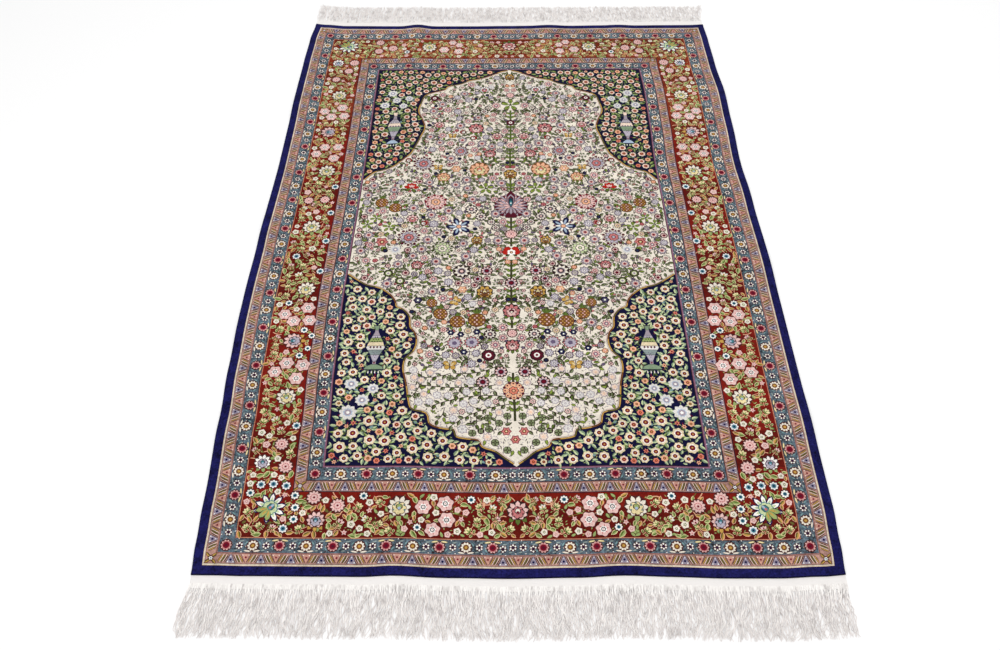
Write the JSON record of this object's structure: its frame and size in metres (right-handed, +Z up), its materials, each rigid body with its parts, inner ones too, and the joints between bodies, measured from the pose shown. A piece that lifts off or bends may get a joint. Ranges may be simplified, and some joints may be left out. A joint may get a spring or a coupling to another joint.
{
  "type": "hand-knotted silk rug of the Hereke kind",
  "caption": "Flat knotted rug with a floral field, corner areas and several borders, with a flat-woven strip and a fringe of free warp ends at each short end.",
  "frame": {"origin": "on the surface that the rug lies on, below the middle of the whole rug with its fringes", "axes": "+X across the rug, +Y along it towards the end that is far in the picture, +Z up from the floor"},
  "size_m": [1.0308, 1.634, 0.0076],
  "materials": {
    "knotted_pile": "clipped silk pile in many dyed colours, soft sheen",
    "warp_cream": "undyed off-white warp yarn, matt"
  },
  "bodies": {
    "root": {"rug_body": "knotted_pile", "fringe_near": "warp_cream", "fringe_far": "warp_cream"}
  },
  "joints": []
}
